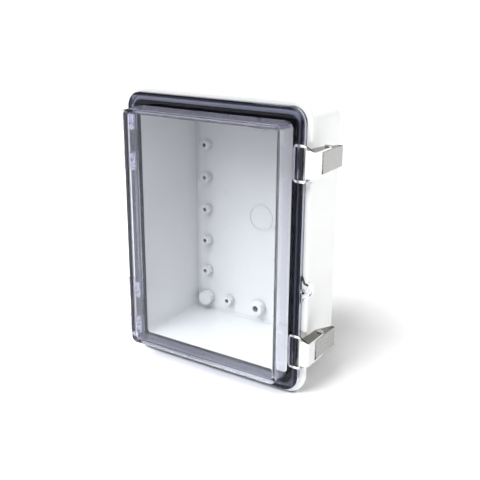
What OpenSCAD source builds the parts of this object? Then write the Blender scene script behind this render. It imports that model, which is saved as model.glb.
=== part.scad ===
// Hinged polycarbonate enclosure, wall mounted.
// Every piece is drawn lying on its back: x runs across the door, y runs up the door
// and z runs from the wall to the cover. stand_up() then turns it upright, so that in
// the finished part +X is right, +Y points back to the wall and +Z is up.
// The origin is the centre of the rear face.

/* [Box] */
// Overall width, across the box flange
flange_w = 148; // [130:1:190]
// Overall height, up the box flange
flange_h = 200; // [170:1:250]
// From the rear face to the front of the box flange
box_depth = 65.5; // [58:0.5:100]
// Corner radius of the box flange
flange_r = 14; // [12:0.5:20]
// Thickness of the box flange
flange_t = 3.5; // [2.5:0.1:5]
// How far the flange stands out past the box wall
flange_overhang = 10.8; // [9:0.1:14]
// Thickness of the side walls
wall = 2.8; // [2:0.1:4]
// Thickness of the rear wall
rear_wall = 3; // [2.5:0.1:5]
// Mould draft of each side wall, from front to back
draft = 1.8; // [0.5:0.1:3]
// Corner radius of the box wall at the front
box_r = 7; // [6.5:0.5:10]
// Rounding of the rear edges
rear_round = 2.4; // [1:0.1:2.4]
// Diameter of the moulding ring inside the rear wall
gate_ring_d = 21; // [14:0.5:30]

/* [Cover] */
// How far the cover's rim stays inside the box flange, top and bottom
cover_end_step = 3.2; // [2:0.1:4.5]
// How far the cover's rim stays inside the box flange, at the sides
cover_side_step = 3.4; // [2.4:0.1:4.5]
// Height of the cover's rim, back edge to front
rim_h = 4.6; // [4.4:0.1:7]
// Thickness of the cover's plate and window
cover_t = 3; // [2.4:0.1:3.5]
// Thickness of the rim's outer skirt
skirt_t = 2.5; // [2:0.1:3.2]
// Height of the window above the rim
window_h = 14.6; // [6:0.2:24]
// From the rim's outer edge to the foot of the window wall, at the sides
window_side_inset = 7.3; // [7:0.1:12]
// From the rim's outer edge to the foot of the window wall, top and bottom
window_end_inset = 8.8; // [7.4:0.1:14]
// Draft of the window's wall
window_draft = 0.8; // [0.5:0.1:1.6]
// Corner radius of the window
window_r = 5.5; // [5.5:0.5:12]
// Rounding of the window's front edge
window_round = 0.9; // [0.6:0.1:2]

/* [Gasket] */
// Width of the gasket
gasket_w = 4.5; // [3:0.1:5]
// Depth of the gasket's groove in the cover
groove_d = 1.4; // [0.6:0.1:1.8]
// Height of the sealing lip on the box wall
lip_h = 1.1; // [0.6:0.1:1.6]

/* [Hinges] */
// How far the hinges and latches sit below the middle
hardware_drop = 1.6; // [0:0.2:5]
// From the flange's end to the middle of a hinge
hinge_inset = 36.5; // [32:0.5:50]
// Length of a hinge
hinge_l = 42; // [30:1:46]
// Outer radius of the knuckles
knuckle_r = 3.3; // [2.8:0.1:3.6]
// Diameter of the hinge pin
hinge_pin_d = 2.4; // [2:0.1:3]
// Distance of the hinge axis outside the cover's rim
hinge_out = 3.4; // [3:0.1:4.4]

/* [Latches] */
// From the flange's end to the middle of a latch
latch_inset = 36.2; // [34:0.2:50]
// Thickness of the latch's sheet steel
sheet_t = 1.2; // [0.8:0.1:1.6]
// Height of the lever
lever_h = 13.8; // [10:0.2:16]
// Depth of the lever's grip, from the front to the rear end
lever_l = 27; // [20:0.5:32]
// Height of the bail's loop round its keeper
loop_h = 24.2; // [21:0.2:28]
// Width of the keeper on the cover
keeper_h = 19.8; // [14:0.1:20]
// Diameter of the pins of the latch
latch_pin_d = 3; // [2:0.1:3.4]

/* [Bosses] */
// From the box wall's outer face to the columns of bosses
column_inset = 14.7; // [14:0.1:20]
// Pitch of the small bosses in a column
boss_pitch = 25.5; // [20:0.5:26]
// From the box wall's outer face to the top and bottom rows of bosses
row_inset = 16.7; // [15.2:0.1:18]
// From the middle to the small bosses of a row
row_pitch = 27.5; // [20:0.5:34]
// Diameter of a small boss
small_boss_d = 7.4; // [6:0.1:9]
// Screw hole of a small boss
small_hole_d = 3.2; // [2:0.1:4]
// Height of a small boss above the rear wall
small_boss_h = 5.5; // [3:0.1:12]
// Diameter of a large boss
large_boss_d = 11; // [9:0.1:12]
// Screw hole of the two middle bosses
panel_hole_d = 5; // [3:0.1:6]
// Height of a large boss above the rear wall
large_boss_h = 6.5; // [5:0.1:12]

/* [Rear inserts] */
// Thread bore of the brass inserts
insert_bore_d = 4.2; // [3:0.1:4.5]
// Outer diameter of the brass inserts
insert_d = 6.4; // [5.4:0.1:7]
// Length of the brass inserts
insert_l = 7; // [4:0.1:7.5]

/* [Seal ear] */
// Height of the seal ear, below the middle
ear_y = 22.5; // [15:0.5:35]
// Radius of the ear's tip
ear_r = 5; // [4:0.1:7]
// Hole for the seal or padlock
ear_hole_d = 4; // [2.5:0.1:6]

/* [Hidden] */
$fn = 48;

// Clearances
part_gap = 0.3;       // between pieces that move past each other
pin_gap = 0.05;       // round a turning pin, on the radius
fit_gap = 0.02;       // round a seated insert, on the radius
swing_gap = 0.5;      // round a turning knuckle
cut = 1;              // how far a cutting shape passes its face

// Box
box_w2 = flange_w / 2 - flange_overhang;
box_h2 = flange_h / 2 - flange_overhang;
column_x = box_w2 - column_inset;
row_y = box_h2 - row_inset;
function place(s, inset) = s * (flange_h / 2 - inset) - hardware_drop;
arc_steps = 4;

// Cover
rim_w2 = flange_w / 2 - cover_side_step;
rim_h2 = flange_h / 2 - cover_end_step;
rim_r = flange_r - cover_side_step;
window_w2 = rim_w2 - window_side_inset;
window_h2 = rim_h2 - window_end_inset;
rim_back = box_depth + part_gap;
rim_front = rim_back + rim_h;
plate_back = rim_front - cover_t;
window_front = rim_front + window_h;
rim_round = 1.1;

// Gasket: it lies in the cover's groove and its back face rests on the lip of the box wall
lip_front = box_depth + lip_h;
gasket_front = plate_back + groove_d;
gasket_w2 = box_w2 - wall / 2 + gasket_w / 2 + 1.5;
gasket_h2 = box_h2 - box_w2 + gasket_w2;
gasket_r = 6;

// Hinges
hinge_x = -(rim_w2 + hinge_out);
hinge_z = rim_back + 2.2;
body_knuckle_l = hinge_l * 0.36;
cover_knuckle_l = (hinge_l - body_knuckle_l) / 2 - part_gap;

// Seal ear: its hole just clears the cover's rim
ear_x = rim_w2 + ear_hole_d / 2 + 0.1;

// Latch, seen from above: the bail's bar hooks behind the keeper, and the lever's own
// pin lies just outside the straight line from the bar to the bail's pin
bar_w = 1.8;
bar_x = rim_w2 - 6.5;
bail_back = rim_front + 0.25;
bail_front = bail_back + sheet_t;
loop_x = rim_w2 + 2.6;
grip_x = rim_w2 + 9.3;
lever_pin = [rim_w2 + 3, box_depth - 7.5];
bail_pin = [lever_pin[0] + 3.4, lever_pin[1] - 8];
lever_front = lever_pin[1] + 3;
notch_x = rim_w2 - 3.8;
notch_h = loop_h + 2;
lever_rear = lever_front - lever_l;
eye_r = latch_pin_d / 2 + 1.1;
arm_y = lever_h / 2 + 0.2;
return_back = lever_front + 1.6;
head_r = latch_pin_d / 2 + 0.6;
head_t = 0.7;
block_h = lever_h - 2 * sheet_t - 2 * part_gap;

// Turns a piece from lying on its back to standing upright
module stand_up() {
    rotate([90, 0, 0]) children();
}

// Offsets and heights of a quarter round that ends a moulded side, from its face outwards
function round_low(r, z, at = 0) = [for (i = [0 : arc_steps])
    let (a = 90 * i / arc_steps) [at - r + r * sin(a), z + r - r * cos(a)]];
function round_high(r, z, at = 0) = [for (i = [0 : arc_steps])
    let (a = 90 * i / arc_steps) [at - r + r * cos(a), z - r + r * sin(a)]];

// A moulded block with rounded corners. side lists [offset, z] from low to high: how far
// the side stands out past half_w and half_h at each height
module moulded(half_w, half_h, r, side) {
    low = side[0][1];
    high = side[len(side) - 1][1];
    module section(half) {
        polygon(concat([for (p = side) [half + p[0], p[1]]],
            [for (i = [len(side) - 1 : -1 : 0]) [-half - side[i][0], side[i][1]]]));
    }
    rotate([90, 0, 0]) linear_extrude(2 * (half_h - r), center = true) section(half_w);
    rotate([90, 0, 90]) linear_extrude(2 * (half_w - r), center = true) section(half_h);
    for (sx = [-1, 1], sy = [-1, 1])
        translate([sx * (half_w - r), sy * (half_h - r), 0])
            rotate_extrude()
                polygon(concat([[0, low]], [for (p = side) [r + p[0], p[1]]], [[0, high]]));
}

// A cylinder along y, the direction of every hinge and latch pin
module upright(r, l) {
    rotate([90, 0, 0]) cylinder(r = r, h = l, center = true);
}

// A sheet with the given outline in x and z, and its thickness along y
module upright_plate(l) {
    rotate([90, 0, 0]) linear_extrude(l, center = true) children();
}

// Places of the bosses
function small_bosses() = concat(
    [for (sx = [-1, 1], i = [-2 : 2]) [sx * column_x, i * boss_pitch]],
    [for (sx = [-1, 1], sy = [-1, 1]) [sx * row_pitch, sy * row_y]]);
function panel_bosses() = [for (sy = [-1, 1]) [0, sy * row_y]];
function corner_bosses() = [for (sx = [-1, 1], sy = [-1, 1]) [sx * column_x, sy * (row_y + 2)]];
function ejector_marks() = [for (sx = [-1, 1], sy = [-1, 1]) [sx * 33, sy * 15]];

module at(places) {
    for (p = places) translate([p[0], p[1], 0]) children();
}

// The ear for a seal or a small padlock, as an outline in x and y
module ear_outline() {
    edge = rim_w2 - 2;
    spread = ear_r + 5;
    translate([0, -ear_y]) {
        translate([ear_x, 0]) circle(ear_r);
        polygon([[edge, -spread], [rim_w2, -spread], [ear_x, -ear_r],
            [ear_x, ear_r], [rim_w2, spread], [edge, spread]]);
    }
}

module ear_hole() {
    translate([ear_x, -ear_y, 0]) cylinder(d = ear_hole_d, h = rim_front + cut);
}

module body_shell() {
    outer = concat(round_low(rear_round, 0, -draft), [[0, box_depth]]);
    inner = concat(round_low(1.2, rear_wall, -draft - wall), [[-wall, lip_front + cut]]);
    difference() {
        union() {
            moulded(box_w2, box_h2, box_r, outer);
            moulded(flange_w / 2, flange_h / 2, flange_r,
                concat(round_low(0.8, box_depth - flange_t), round_high(0.8, box_depth)));
            moulded(box_w2, box_h2, box_r, [[0, box_depth - cut], [-0.4, lip_front]]);
            for (s = [-1, 1]) {
                body_knuckle(place(s, hinge_inset));
                latch_block(place(s, latch_inset));
            }
            translate([0, 0, box_depth - flange_t]) linear_extrude(flange_t) ear_outline();
        }
        moulded(box_w2, box_h2, box_r, inner);
        for (s = [-1, 1]) latch_notch(place(s, latch_inset));
    }
}

// The box's half of a hinge: one knuckle on a foot that grows from the flange
module body_knuckle(y) {
    foot_left = hinge_x - knuckle_r + 0.6;
    foot_right = -rim_w2 - part_gap;
    translate([hinge_x, y, hinge_z]) upright(knuckle_r, body_knuckle_l);
    translate([foot_left, y - body_knuckle_l / 2, box_depth - flange_t])
        cube([foot_right - foot_left, body_knuckle_l, hinge_z - box_depth + flange_t]);
}

// The block behind the flange that carries a lever's pin
module latch_block(y) {
    root = box_w2 - wall / 2;
    translate([lever_pin[0], y, lever_pin[1]]) upright(eye_r, block_h);
    translate([0, y, 0]) upright_plate(block_h) polygon([[root, lever_pin[1] - eye_r - 6],
        [lever_pin[0], lever_pin[1] - eye_r], [lever_pin[0], lever_pin[1] + eye_r],
        [notch_x, box_depth - flange_t + 0.5], [root, box_depth - flange_t + 0.5]]);
}

// The gap in the flange that a bail's arms pass through
module latch_notch(y) {
    translate([notch_x, y - notch_h / 2, box_depth - flange_t - cut])
        cube([flange_w, notch_h, flange_t + 2 * cut]);
}

module body() {
    color("#f1f2f0") stand_up() difference() {
        union() {
            body_shell();
            at(small_bosses()) translate([0, 0, rear_wall - 0.5])
                cylinder(d = small_boss_d, h = small_boss_h + 0.5);
            at(concat(panel_bosses(), corner_bosses())) translate([0, 0, rear_wall - 0.5])
                cylinder(d = large_boss_d, h = large_boss_h + 0.5);
            at(ejector_marks()) translate([0, 0, rear_wall - 0.5]) cylinder(d = 3, h = 0.8);
            translate([0, 0, rear_wall - 0.5]) difference() {
                cylinder(d = gate_ring_d, h = 1.1);
                translate([0, 0, 0.2]) cylinder(d = gate_ring_d - 2.4, h = 1.1);
            }
        }
        at(small_bosses()) translate([0, 0, 1.5])
            cylinder(d = small_hole_d, h = small_boss_h + rear_wall);
        at(panel_bosses()) translate([0, 0, 1.5])
            cylinder(d = panel_hole_d, h = large_boss_h + rear_wall);
        at(corner_bosses()) translate([0, 0, -cut])
            cylinder(r = insert_d / 2 + fit_gap, h = insert_l + cut);
        ear_hole();
        for (s = [-1, 1]) {
            translate([hinge_x, place(s, hinge_inset), hinge_z]) {
                upright(hinge_pin_d / 2, hinge_l);
                // room for the cover's knuckles to turn
                for (e = [-1, 1])
                    translate([0, e * (hinge_l - cover_knuckle_l) / 2, 0])
                        upright(knuckle_r + swing_gap, cover_knuckle_l + 2 * part_gap);
            }
            translate([lever_pin[0], place(s, latch_inset), lever_pin[1]])
                upright(latch_pin_d / 2 + pin_gap, block_h + 2 * cut);
        }
    }
}

module foot_inserts() {
    color("#b9964c") stand_up() at(corner_bosses()) difference() {
        cylinder(d = insert_d, h = insert_l - fit_gap);
        translate([0, 0, -cut]) cylinder(d = insert_bore_d, h = insert_l + 2 * cut);
    }
}

// The keeper: a wedge on the rim that the bail's bar hooks behind
module keeper(y) {
    foot = bar_x + bar_w + 0.3;
    rise = 1.8;
    run = 3.2;
    translate([0, y, 0]) upright_plate(keeper_h) polygon([
        [foot, rim_front - 0.5], [foot, rim_front], [foot + run, rim_front + rise],
        [rim_w2 - 0.9, rim_front + rise], [rim_w2, rim_front + rise - 0.9],
        [rim_w2, rim_front - 0.5]]);
}

// The cover's half of a hinge: a knuckle at each end, joined to the rim
module cover_knuckles(y) {
    for (e = [-1, 1])
        translate([0, y + e * (hinge_l - cover_knuckle_l) / 2, 0]) {
            translate([hinge_x, 0, hinge_z]) upright(knuckle_r, cover_knuckle_l);
            translate([hinge_x, -cover_knuckle_l / 2, rim_back])
                cube([hinge_out + 1, cover_knuckle_l, hinge_z + knuckle_r - rim_back - 0.4]);
        }
}

module cover() {
    outer = [[0, plate_back], for (p = round_high(window_round, window_front, -window_draft)) p];
    inner = [[-cover_t, rim_back - cut], for (p = round_high(0.8, window_front - cover_t,
        -window_draft - cover_t)) p];
    color("#b9b3cf", 0.45) stand_up() difference() {
        union() {
            moulded(rim_w2, rim_h2, rim_r, concat([[0, rim_back]], round_high(rim_round, rim_front)));
            moulded(window_w2, window_h2, window_r, outer);
            for (s = [-1, 1]) {
                keeper(place(s, latch_inset));
                cover_knuckles(place(s, hinge_inset));
            }
            translate([0, 0, rim_back]) linear_extrude(cover_t) ear_outline();
        }
        ear_hole();
        moulded(window_w2, window_h2, window_r, inner);
        moulded(rim_w2 - skirt_t, rim_h2 - skirt_t, rim_r - skirt_t,
            [[0, rim_back - cut], [0, plate_back]]);
        gasket_ring(plate_back - cut, gasket_front);
        for (s = [-1, 1]) translate([hinge_x, place(s, hinge_inset), hinge_z]) {
            upright(hinge_pin_d / 2 + pin_gap, hinge_l + 2 * cut);
            // room for the box's knuckle
            upright(knuckle_r + swing_gap, body_knuckle_l + 2 * part_gap);
        }
    }
}

// A ring with the gasket's outline between two heights
module gasket_ring(low, high) {
    difference() {
        moulded(gasket_w2, gasket_h2, gasket_r, [[0, low], [0, high]]);
        moulded(gasket_w2 - gasket_w, gasket_h2 - gasket_w, gasket_r - gasket_w,
            [[0, low - cut], [0, high + cut]]);
    }
}

module gasket() {
    color("#2c2c34") stand_up() gasket_ring(lip_front, gasket_front);
}

module hinge_pin(y) {
    color("#c9ccd0") stand_up() translate([hinge_x, y, hinge_z])
        upright(hinge_pin_d / 2, hinge_l - 1);
}

module upper_hinge_pin() {
    hinge_pin(place(1, hinge_inset));
}

module lower_hinge_pin() {
    hinge_pin(place(-1, hinge_inset));
}

// The lever: a steel channel whose web is the grip, with a cheek on each side that
// reaches in to the lever's pin
module lever(y) {
    cheek = [[lever_pin[0], lever_pin[1] + eye_r], [grip_x - 2, lever_front],
        [grip_x, lever_front], [grip_x, lever_rear], [grip_x - 2.6, lever_rear],
        [lever_pin[0] - eye_r, bail_pin[1] - 4], [lever_pin[0] - eye_r, lever_pin[1]]];
    color("#c4c6c8") stand_up() translate([0, y, 0]) difference() {
        union() {
            for (e = [-1, 1]) translate([0, e * (lever_h - sheet_t) / 2, 0]) {
                upright_plate(sheet_t) polygon(cheek);
                translate([lever_pin[0], 0, lever_pin[1]]) upright(eye_r, sheet_t);
            }
            // the web, with its rear corners rounded
            translate([grip_x - sheet_t, 0, 0]) rotate([90, 0, 90]) linear_extrude(sheet_t)
                difference() {
                    translate([-lever_h / 2, lever_rear]) square([lever_h, lever_l]);
                    for (e = [-1, 1]) translate([e * lever_h / 2, lever_rear]) difference() {
                        square(5, center = true);
                        translate([-e * 2.5, 2.5]) circle(2.5);
                    }
                }
        }
        for (p = [lever_pin, bail_pin]) translate([p[0], 0, p[1]])
            upright(latch_pin_d / 2, lever_h + 2 * cut);
    }
}

module lever_pin_solid(y) {
    color("#d4d6d8") stand_up() translate([lever_pin[0], y, lever_pin[1]])
        upright(latch_pin_d / 2, lever_h);
}

// The bail: a steel stamping. Its loop goes round the keeper, its front plate and
// return wrap the edge of the cover, and its arms reach back to its pin
module bail(y) {
    plate_h = 2 * (arm_y + sheet_t);
    window_x = bar_x + bar_w;
    arm = [[loop_x, bail_front], [grip_x, bail_front], [grip_x, return_back],
        [bail_pin[0] + eye_r, bail_pin[1]], [bail_pin[0] - eye_r, bail_pin[1]],
        [rim_w2 + 1.5, box_depth - flange_t - 1], [rim_w2 + 1.5, box_depth], [loop_x, bail_back]];
    color("#d9dbdd") stand_up() translate([0, y, 0]) difference() {
        union() {
            translate([0, 0, bail_back]) linear_extrude(sheet_t) difference() {
                union() {
                    translate([bar_x + 3, 0]) offset_square(3, loop_x - bar_x - 1, loop_h);
                    polygon([[loop_x - 1, loop_h / 2], [grip_x - 1.5, plate_h / 2],
                        [grip_x, plate_h / 2], [grip_x, -plate_h / 2],
                        [grip_x - 1.5, -plate_h / 2], [loop_x - 1, -loop_h / 2]]);
                }
                translate([window_x, -keeper_h / 2 - 0.5])
                    square([loop_x - window_x, keeper_h + 1]);
            }
            translate([grip_x - sheet_t, -plate_h / 2, return_back])
                cube([sheet_t, plate_h, bail_front - return_back]);
            for (e = [-1, 1]) translate([0, e * (arm_y + sheet_t / 2), 0]) {
                upright_plate(sheet_t) polygon(arm);
                translate([bail_pin[0], 0, bail_pin[1]]) upright(eye_r, sheet_t);
            }
        }
        translate([bail_pin[0], 0, bail_pin[1]])
            upright(latch_pin_d / 2 + pin_gap, plate_h + 2 * cut);
    }
}

// A square that starts at -r in x, with its two left corners rounded
module offset_square(r, w, h) {
    for (e = [-1, 1]) translate([0, e * (h / 2 - r)]) circle(r);
    translate([-r, -h / 2 + r]) square([w, h - 2 * r]);
    translate([0, -h / 2]) square([w - r, h]);
}

module bail_pin_solid(y) {
    head_y = arm_y + sheet_t + 0.1;
    color("#d4d6d8") stand_up() translate([bail_pin[0], y, bail_pin[1]]) {
        upright(latch_pin_d / 2, 2 * head_y);
        for (e = [-1, 1]) translate([0, e * (head_y + head_t / 2), 0]) upright(head_r, head_t);
    }
}

module upper_lever() {
    lever(place(1, latch_inset));
}

module upper_lever_pin() {
    lever_pin_solid(place(1, latch_inset));
}

module upper_bail() {
    bail(place(1, latch_inset));
}

module upper_bail_pin() {
    bail_pin_solid(place(1, latch_inset));
}

module lower_lever() {
    lever(place(-1, latch_inset));
}

module lower_lever_pin() {
    lever_pin_solid(place(-1, latch_inset));
}

module lower_bail() {
    bail(place(-1, latch_inset));
}

module lower_bail_pin() {
    bail_pin_solid(place(-1, latch_inset));
}

body();
foot_inserts();
cover();
gasket();
upper_hinge_pin();
lower_hinge_pin();
upper_lever();
upper_lever_pin();
upper_bail();
upper_bail_pin();
lower_lever();
lower_lever_pin();
lower_bail();
lower_bail_pin();
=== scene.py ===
"""Looks of the hinged polycarbonate enclosure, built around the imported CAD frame."""

import math

import bpy
from mathutils import Matrix, Vector


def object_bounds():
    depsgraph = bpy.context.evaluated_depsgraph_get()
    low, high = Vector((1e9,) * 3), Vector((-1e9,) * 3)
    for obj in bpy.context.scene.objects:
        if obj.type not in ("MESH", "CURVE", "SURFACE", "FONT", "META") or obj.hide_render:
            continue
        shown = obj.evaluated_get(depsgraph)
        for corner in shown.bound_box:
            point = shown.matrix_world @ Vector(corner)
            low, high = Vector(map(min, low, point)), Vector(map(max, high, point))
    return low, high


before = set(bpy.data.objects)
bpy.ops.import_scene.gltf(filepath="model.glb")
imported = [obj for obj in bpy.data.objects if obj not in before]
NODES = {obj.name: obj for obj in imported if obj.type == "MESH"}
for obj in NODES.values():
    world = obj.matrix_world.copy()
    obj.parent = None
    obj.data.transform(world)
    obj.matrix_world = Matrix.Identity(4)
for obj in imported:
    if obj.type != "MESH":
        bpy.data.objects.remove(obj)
CAD_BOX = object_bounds()
LOWEST, HIGHEST = (Vector(corner) for corner in CAD_BOX)

MM = 0.001
# Half the width and height of the cover's rim, and of the foot of the window's wall
RIM_HALF = (70.6 * MM, 96.8 * MM)
WINDOW_HALF = (63.3 * MM, 88.0 * MM)
# Thickness of the rim's outer skirt, and the front of the rim
SKIRT = 2.5 * MM
RIM_FRONT = -70.4 * MM
# Hinges: their common middle, its distance to each, and the cover's two knuckles on each
HINGE_MIDDLE = -1.6 * MM
HINGE_PITCH = 63.5 * MM
KNUCKLE_PITCH = 14.4 * MM
KNUCKLE_HALF = 6.6 * MM
# The inner edge and the front of the frosted pads on the knuckles
PAD_EDGE = -66.0 * MM
PAD_FRONT = -73.5 * MM
# The outer edge of the bar of a bail's loop
LOOP_BAR = 66.0 * MM
# Where the loop ends, half the height of the front plate, and a latch's distance from the middle
LOOP_END = 73.6 * MM
PLATE_HALF = 8.9 * MM
LATCH_PITCH = 63.8 * MM

# Half the width over which a painted shade fades in or out
FADE = 0.2 * MM

# Camera, fitted to the edges of the cover and the box
CAMERA_AT = Vector((0.29655, -0.48485, 0.16510))
CAMERA_AZIMUTH = math.radians(33.87)
CAMERA_ELEVATION = math.radians(18.02)
CAMERA_ROLL = math.radians(0.15)
CAMERA_LENS_MM = 58.28
CAMERA_SHIFT = (0.0162, 0.0019)


# ---------------------------------------------------------------- materials

def new_material(name):
    """An empty node material and its Principled shader."""
    material = bpy.data.materials.new(name)
    material.use_nodes = True
    return material, material.node_tree.nodes["Principled BSDF"]


def object_coordinates(material, scale=(1, 1, 1)):
    """Texture coordinates in metres, stretched by scale."""
    nodes, links = material.node_tree.nodes, material.node_tree.links
    where = nodes.new("ShaderNodeTexCoord")
    stretch = nodes.new("ShaderNodeMapping")
    stretch.inputs["Scale"].default_value = scale
    links.new(where.outputs["Object"], stretch.inputs["Vector"])
    return stretch.outputs["Vector"]


def noise(material, scale, detail=4.0, roughness=0.5, stretch=(1, 1, 1)):
    """A noise texture whose features are about 1 / scale metres across."""
    node = material.node_tree.nodes.new("ShaderNodeTexNoise")
    node.inputs["Scale"].default_value = scale
    node.inputs["Detail"].default_value = detail
    node.inputs["Roughness"].default_value = roughness
    material.node_tree.links.new(object_coordinates(material, stretch), node.inputs["Vector"])
    return node.outputs["Fac"]


def ramp(material, factor, low, high, start=0.35, end=0.65):
    """Maps a factor onto colours from low to high."""
    node = material.node_tree.nodes.new("ShaderNodeValToRGB")
    node.color_ramp.elements[0].position = start
    node.color_ramp.elements[0].color = (*low, 1)
    node.color_ramp.elements[1].position = end
    node.color_ramp.elements[1].color = (*high, 1)
    material.node_tree.links.new(factor, node.inputs["Fac"])
    return node.outputs["Color"]


def span(material, factor, low, high, start=0.3, end=0.7):
    """Maps a factor onto numbers from low to high."""
    node = material.node_tree.nodes.new("ShaderNodeMapRange")
    for name, value in (("From Min", start), ("From Max", end), ("To Min", low), ("To Max", high)):
        node.inputs[name].default_value = value
    material.node_tree.links.new(factor, node.inputs["Value"])
    return node.outputs["Result"]


def bump(material, shader, height, strength, distance, under=None):
    """Adds a bump of the given depth in metres, on top of an earlier one."""
    node = material.node_tree.nodes.new("ShaderNodeBump")
    node.inputs["Strength"].default_value = strength
    node.inputs["Distance"].default_value = distance
    material.node_tree.links.new(height, node.inputs["Height"])
    if under is not None:
        material.node_tree.links.new(under, node.inputs["Normal"])
    material.node_tree.links.new(node.outputs["Normal"], shader.inputs["Normal"])
    return node.outputs["Normal"]


def arithmetic(material, operation, first, second=None):
    """A maths node; either input is a socket or a number."""
    node = material.node_tree.nodes.new("ShaderNodeMath")
    node.operation = operation
    for socket, value in zip(node.inputs, (first, second)):
        if isinstance(value, (int, float)):
            socket.default_value = value
        elif value is not None:
            material.node_tree.links.new(value, socket)
    return node.outputs["Value"]


def components(material, vector):
    """The x, y and z sockets of a vector."""
    split = material.node_tree.nodes.new("ShaderNodeSeparateXYZ")
    material.node_tree.links.new(vector, split.inputs["Vector"])
    return [split.outputs[axis] for axis in "XYZ"]


def facing(material):
    """How squarely the surface faces the object's own x, y and z axes, either way, from 0 to 1."""
    where = material.node_tree.nodes.new("ShaderNodeTexCoord")
    normal = components(material, where.outputs["Normal"])
    return [arithmetic(material, "ABSOLUTE", part) for part in normal]


def product(material, *factors):
    """Multiplies several factors."""
    total = factors[0]
    for factor in factors[1:]:
        total = arithmetic(material, "MULTIPLY", total, factor)
    return total


def tinted(material, base, layers):
    """Multiplies a base colour by each (factor, colour) layer in turn."""
    nodes, links = material.node_tree.nodes, material.node_tree.links
    shade = None
    for factor, colour in layers:
        mix = nodes.new("ShaderNodeMix")
        mix.data_type = "RGBA"
        mix.blend_type = "MULTIPLY"
        links.new(factor, mix.inputs[0])
        if shade is None:
            mix.inputs[6].default_value = (*base, 1)
        else:
            links.new(shade, mix.inputs[6])
        mix.inputs[7].default_value = (*colour, 1)
        shade = mix.outputs[2]
    return shade


def housing_plastic():
    """Opaque light grey white polycarbonate with a fine spark-eroded grain, and painted shade in
    its holes and inner corners.
    """
    material, shader = new_material("housing_plastic")
    links = material.node_tree.links
    pale = ramp(material, noise(material, 18, detail=3),
                (0.73, 0.738, 0.735), (0.76, 0.766, 0.762))
    # painted shade: holes and inner corners are painted a little greyer by ambient occlusion
    painted_corner_shade = material.node_tree.nodes.new("ShaderNodeAmbientOcclusion")
    painted_corner_shade.inputs["Distance"].default_value = 6 * MM
    painted_corner_shade.only_local = True
    painted_corner_shade.samples = 8
    open_part = span(material, painted_corner_shade.outputs["AO"], 0.0, 1.0, 0.0, 0.8)
    mix = material.node_tree.nodes.new("ShaderNodeMix")
    mix.data_type = "RGBA"
    links.new(open_part, mix.inputs[0])
    mix.inputs[6].default_value = (0.20, 0.20, 0.21, 1)
    links.new(pale, mix.inputs[7])
    links.new(mix.outputs[2], shader.inputs["Base Color"])
    grain = noise(material, 2600, detail=2)
    links.new(span(material, grain, 0.36, 0.50), shader.inputs["Roughness"])
    bump(material, shader, grain, 0.25, 0.00006)
    shader.inputs["Subsurface Weight"].default_value = 0.06
    shader.inputs["Subsurface Radius"].default_value = (0.004, 0.004, 0.0035)
    shader.inputs["Specular IOR Level"].default_value = 0.45
    return material


def distance_from(material, place, middle):
    """How far a coordinate lies from a given one, either way."""
    return arithmetic(material, "ABSOLUTE", arithmetic(material, "SUBTRACT", place, middle))


def outside_of(material, place, half):
    """How far a point lies outside a rectangle of the given half width and height."""
    across = arithmetic(material, "SUBTRACT", arithmetic(material, "ABSOLUTE", place[0]), half[0])
    along = arithmetic(material, "SUBTRACT", arithmetic(material, "ABSOLUTE", place[2]), half[1])
    return arithmetic(material, "MAXIMUM", across, along)


def hinge_pads(material, place):
    """Up to 1 on the frosted pads of the cover's knuckles, with ragged ends, and 0 elsewhere."""
    height = distance_from(material, place[2], HINGE_MIDDLE)
    from_hinge = distance_from(material, height, HINGE_PITCH)
    from_knuckle = distance_from(material, from_hinge, KNUCKLE_PITCH)
    ragged = span(material, noise(material, 350, detail=3), -1.6 * MM, 1.6 * MM)
    from_knuckle = arithmetic(material, "ADD", from_knuckle, ragged)
    level = span(material, from_knuckle, 1, 0, KNUCKLE_HALF - 0.9 * MM, KNUCKLE_HALF + 0.6 * MM)
    left = span(material, place[0], 1, 0, PAD_EDGE - FADE, PAD_EDGE + FADE)
    behind = span(material, place[1], 0, 1, PAD_FRONT - 0.5 * MM, PAD_FRONT + 0.5 * MM)
    worn = span(material, noise(material, 300, detail=3), 0.55, 1, 0.38, 0.60)
    return product(material, level, left, behind, worn)


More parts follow.
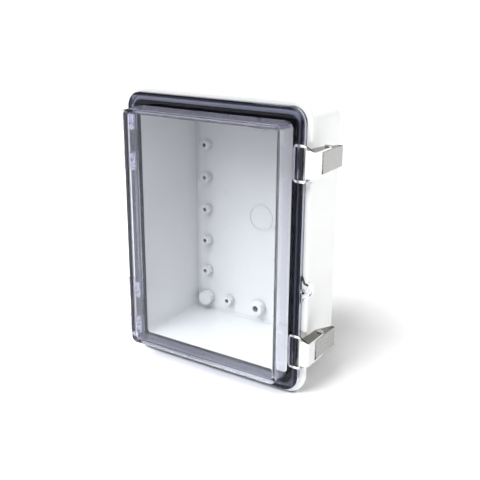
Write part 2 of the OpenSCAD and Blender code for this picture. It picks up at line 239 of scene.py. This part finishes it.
def clear_plastic():
    """Clear polycarbonate. Where the real one looks violet grey, the rim, skirt and walls are
    painted so by their place, alike on opposite sides: painted shade standing in for dark
    reflections and refractions."""
    material, shader = new_material("clear_plastic")
    nodes, links = material.node_tree.nodes, material.node_tree.links
    place = components(material, object_coordinates(material))
    side, front, end = facing(material)
    to_front = span(material, front, 0, 1, 0.5, 0.8)
    rim = span(material, outside_of(material, place, WINDOW_HALF), 0, 1, 0.2 * MM, 0.8 * MM)
    past_skirt = outside_of(material, place, [half - SKIRT for half in RIM_HALF])
    skirt = span(material, past_skirt, 0, 1, -0.3 * MM, 0.4 * MM)
    to_end = span(material, end, 0, 1, 0.2, 0.5)
    to_side = span(material, side, 0, 1, 0.4, 0.7)
    ahead = span(material, place[1], 1, 0, RIM_FRONT - 1.0 * MM, RIM_FRONT - 0.2 * MM)
    pads = hinge_pads(material, place)
    end_wall = product(material, to_end, ahead)
    in_rim = span(material, outside_of(material, place, RIM_HALF), 1, 0, 0.1 * MM, 0.4 * MM)
    bare = arithmetic(material, "SUBTRACT", 1.0, pads)
    # painted shade: the rim's plate, its skirt and the window's end and side walls are painted
    # darker by their place
    shade = tinted(material, (0.91, 0.92, 0.935), [
        (product(material, rim, to_front, in_rim, bare), (0.28, 0.285, 0.36)),
        (product(material, skirt, to_front, in_rim, bare), (0.06, 0.06, 0.10)),
        (end_wall, (0.45, 0.44, 0.53)),
        (product(material, to_side, ahead), (0.88, 0.875, 0.92)),
        (pads, (0.86, 0.81, 0.99))])
    links.new(shade, shader.inputs["Base Color"])
    # how much of the frosted pads, and of the painted shade on the end and side walls, is opaque
    solid = arithmetic(material, "MAXIMUM",
                       product(material, pads, 0.55), product(material, end_wall, 0.18))
    solid = arithmetic(material, "MAXIMUM", solid, product(material, to_side, ahead, 0.10))
    links.new(arithmetic(material, "SUBTRACT", 1.0, solid), shader.inputs["Transmission Weight"])
    shader.inputs["IOR"].default_value = 1.56
    shader.inputs["Specular IOR Level"].default_value = 0.1
    shader.inputs["Specular Tint"].default_value = (0.35, 0.35, 0.42, 1)
    haze = span(material, noise(material, 60, detail=3), 0.012, 0.035)
    frost = product(material, pads, span(material, noise(material, 700, detail=3), 0.15, 0.7))
    links.new(arithmetic(material, "MAXIMUM", haze, frost), shader.inputs["Roughness"])
    tint = nodes.new("ShaderNodeVolumeAbsorption")
    tint.inputs["Color"].default_value = (0.46, 0.46, 0.56, 1)
    tint.inputs["Density"].default_value = 20.0
    output = nodes["Material Output"]
    links.new(tint.outputs["Volume"], output.inputs["Volume"])
    # light that casts the shadow goes straight through, a little dimmed
    passing = nodes.new("ShaderNodeBsdfTransparent")
    passing.inputs["Color"].default_value = (0.66, 0.672, 0.69, 1)
    light_path = nodes.new("ShaderNodeLightPath")
    mix = nodes.new("ShaderNodeMixShader")
    links.new(light_path.outputs["Is Shadow Ray"], mix.inputs["Fac"])
    links.new(shader.outputs["BSDF"], mix.inputs[1])
    links.new(passing.outputs["BSDF"], mix.inputs[2])
    links.new(mix.outputs["Shader"], output.inputs["Surface"])
    return material


def gasket_foam():
    """Dark closed-cell foam rubber."""
    material, shader = new_material("gasket_foam")
    links = material.node_tree.links
    cells = noise(material, 1500, detail=3)
    links.new(ramp(material, cells, (0.003, 0.003, 0.007), (0.008, 0.008, 0.015)),
              shader.inputs["Base Color"])
    shader.inputs["Roughness"].default_value = 0.75
    shader.inputs["Specular IOR Level"].default_value = 0.1
    bump(material, shader, cells, 0.5, 0.0001)
    return material


def bail_painted_shades(material):
    """Painted shade: layers that darken a bail's loop bar and the corners behind its front plate,
    standing in for the dark surroundings they reflect.
    """
    place = components(material, object_coordinates(material))
    # painted shade: the loop's bar is painted darker
    loop = span(material, place[0], 1, 0, LOOP_BAR - FADE, LOOP_BAR + FADE)
    # painted shade: the corners between the loop and the front plate slope away and are painted
    # darker
    height = distance_from(material, place[2], HINGE_MIDDLE)
    from_latch = distance_from(material, height, LATCH_PITCH)
    corner = span(material, from_latch, 0, 1, PLATE_HALF - FADE, PLATE_HALF + FADE)
    clear_of_loop = span(material, place[0], 0, 1, LOOP_END - FADE, LOOP_END + FADE)
    return [(loop, (0.42, 0.41, 0.46)),
            (product(material, corner, clear_of_loop), (0.24, 0.23, 0.21))]


def steel(name, front_tone, side_painted_tone, end_painted_tone, roughness, brush, shades=None):
    """Bright stainless steel, brushed along the direction that brush stretches; its side and end
    faces are painted darker than its front by the way they face, as painted shade and reflection."""
    material, shader = new_material(name)
    nodes, links = material.node_tree.nodes, material.node_tree.links
    side, front, end = facing(material)
    # painted shade: faces turned to the object's x and z axes are painted darker than the front,
    # and shades adds further painted layers
    shade = tinted(material, (front_tone, front_tone, front_tone), [
        (span(material, side, 0, 1, 0.5, 0.9), [t / front_tone for t in side_painted_tone]),
        (span(material, end, 0, 1, 0.5, 0.9), [t / front_tone for t in end_painted_tone]),
        *(shades(material) if shades else [])])
    streaks = noise(material, 900, detail=3, stretch=brush)
    worn = nodes.new("ShaderNodeMix")
    worn.data_type = "RGBA"
    worn.blend_type = "MULTIPLY"
    worn.inputs[0].default_value = 1.0
    links.new(shade, worn.inputs[6])
    links.new(ramp(material, streaks, (0.94, 0.94, 0.94), (1, 1, 1)), worn.inputs[7])
    links.new(worn.outputs[2], shader.inputs["Base Color"])
    shader.inputs["Metallic"].default_value = 1.0
    links.new(span(material, streaks, 0.8 * roughness, 1.25 * roughness),
              shader.inputs["Roughness"])
    bump(material, shader, streaks, 0.12, 0.00003)
    return material


def brass():
    """Turned brass, slightly dulled."""
    material, shader = new_material("insert_brass")
    links = material.node_tree.links
    dull = noise(material, 300, detail=3)
    links.new(ramp(material, dull, (0.56, 0.40, 0.17), (0.72, 0.55, 0.27)),
              shader.inputs["Base Color"])
    shader.inputs["Metallic"].default_value = 1.0
    links.new(span(material, dull, 0.25, 0.40), shader.inputs["Roughness"])
    return material


def dress(materials):
    """Gives each CAD node its material."""
    for node, material in materials.items():
        slots = NODES[node].data.materials
        slots.clear()
        slots.append(material)


bail_steel = steel("bail_steel", front_tone=0.95, side_painted_tone=(0.66, 0.66, 0.66),
                   end_painted_tone=(0.19, 0.18, 0.16), roughness=0.16, brush=(1, 1, 0.06),
                   shades=bail_painted_shades)
lever_steel = steel("lever_steel", front_tone=0.80, side_painted_tone=(0.34, 0.34, 0.33),
                    end_painted_tone=(0.26, 0.25, 0.23), roughness=0.26, brush=(1, 0.06, 1))
pin_steel = steel("pin_steel", front_tone=0.70, side_painted_tone=(0.70, 0.70, 0.70),
                  end_painted_tone=(0.60, 0.60, 0.60), roughness=0.3, brush=(1, 1, 0.1))
dress({
    "body": housing_plastic(),
    "foot_inserts": brass(),
    "cover": clear_plastic(),
    "gasket": gasket_foam(),
    "upper_hinge_pin": pin_steel,
    "lower_hinge_pin": pin_steel,
    **{f"{side}_bail": bail_steel for side in ("upper", "lower")},
    **{f"{side}_lever": lever_steel for side in ("upper", "lower")},
    **{f"{side}_{part}": pin_steel
       for side in ("upper", "lower") for part in ("lever_pin", "bail_pin")},
})


# ---------------------------------------------------------------- stage

def floor():
    """A plain pale floor under the lowest point of the object."""
    half = 60.0
    mesh = bpy.data.meshes.new("floor")
    z = LOWEST.z - 0.0002
    mesh.from_pydata([(-half, -half, z), (half, -half, z), (half, half, z), (-half, half, z)],
                     [], [(0, 1, 2, 3)])
    plane = bpy.data.objects.new("floor", mesh)
    bpy.context.scene.collection.objects.link(plane)
    material, shader = new_material("floor_paper")
    paper = ramp(material, noise(material, 700, detail=2), (0.90, 0.90, 0.90), (0.93, 0.93, 0.93))
    # a thin dark line of shade where the object touches it
    links = material.node_tree.links
    contact = material.node_tree.nodes.new("ShaderNodeAmbientOcclusion")
    contact.inputs["Distance"].default_value = 2.5 * MM
    contact.samples = 8
    links.new(paper, contact.inputs["Color"])
    links.new(contact.outputs["Color"], shader.inputs["Base Color"])
    shader.inputs["Roughness"].default_value = 0.9
    shader.inputs["Specular IOR Level"].default_value = 0.1
    mesh.materials.append(material)


def sun(name, at, angle, power):
    """A wide soft sun that shines from a point towards the origin."""
    light = bpy.data.lights.new(name, "SUN")
    light.angle = math.radians(angle)
    light.energy = power
    lamp = bpy.data.objects.new(name, light)
    lamp.location = at
    lamp.rotation_euler = Vector(at).to_track_quat("Z", "Y").to_euler()
    bpy.context.scene.collection.objects.link(lamp)


def dark_card(name, azimuth, elevation, away, width, height, tone, lights=False):
    """A dark card that faces the object and shows only in what it reflects and refracts,
    and, if lights is set, in how it dims the light on matt surfaces."""
    azimuth, elevation = math.radians(azimuth), math.radians(elevation)
    towards = Vector((math.sin(azimuth) * math.cos(elevation),
                      -math.cos(azimuth) * math.cos(elevation), math.sin(elevation)))
    mesh = bpy.data.meshes.new(name)
    x, y = width / 2, height / 2
    mesh.from_pydata([(-x, -y, 0), (x, -y, 0), (x, y, 0), (-x, y, 0)], [], [(0, 1, 2, 3)])
    card = bpy.data.objects.new(name, mesh)
    card.location = towards * away
    card.rotation_euler = towards.to_track_quat("Z", "Y").to_euler()
    card.visible_camera = card.visible_shadow = False
    card.visible_diffuse = lights
    material, shader = new_material(name)
    shader.inputs["Base Color"].default_value = (*tone, 1)
    shader.inputs["Roughness"].default_value = 1.0
    shader.inputs["Specular IOR Level"].default_value = 0.0
    mesh.materials.append(material)
    bpy.context.scene.collection.objects.link(card)


def surroundings():
    """Pale near the horizon and dimmer overhead."""
    world = bpy.data.worlds.new("studio")
    world.use_nodes = True
    nodes, links = world.node_tree.nodes, world.node_tree.links
    where = nodes.new("ShaderNodeTexCoord")
    split = nodes.new("ShaderNodeSeparateXYZ")
    links.new(where.outputs["Generated"], split.inputs["Vector"])
    fade = nodes.new("ShaderNodeMapRange")
    for name, value in (("From Min", 0.2), ("From Max", 0.6), ("To Min", 0.95), ("To Max", 0.40)):
        fade.inputs[name].default_value = value
    links.new(split.outputs["Z"], fade.inputs["Value"])
    links.new(fade.outputs["Result"], nodes["Background"].inputs["Strength"])
    nodes["Background"].inputs["Color"].default_value = (1, 1, 1, 1)
    bpy.context.scene.world = world


def studio():
    """Pale surroundings, dark cards in front and behind, a soft key light from the front left
    above, and a weaker fill from the right."""
    surroundings()
    dark_card("front_card", 10, 5, 1.1, 4.0, 2.0, (0.03, 0.03, 0.04), lights=True)
    dark_card("back_card", 205, 32, 1.0, 2.2, 0.9, (0.05, 0.045, 0.04))
    sun("key", (-0.22, -0.80, 0.96), 46, 4.8)
    sun("side_fill", (1.0, 0.25, 0.25), 60, 1.15)
    bpy.context.scene.view_settings.view_transform = "Standard"


def camera():
    """The photograph's view."""
    data = bpy.data.cameras.new("camera")
    data.lens = CAMERA_LENS_MM
    data.sensor_width = 36
    data.shift_x, data.shift_y = CAMERA_SHIFT
    data.clip_start = 0.01
    view = bpy.data.objects.new("camera", data)
    turn = (Matrix.Rotation(CAMERA_AZIMUTH, 4, "Z")
            @ Matrix.Rotation(math.radians(90) - CAMERA_ELEVATION, 4, "X"))
    view.matrix_world = Matrix.Translation(CAMERA_AT) @ turn @ Matrix.Rotation(CAMERA_ROLL, 4, "Z")
    bpy.context.scene.collection.objects.link(view)
    bpy.context.scene.camera = view


camera()
floor()
studio()
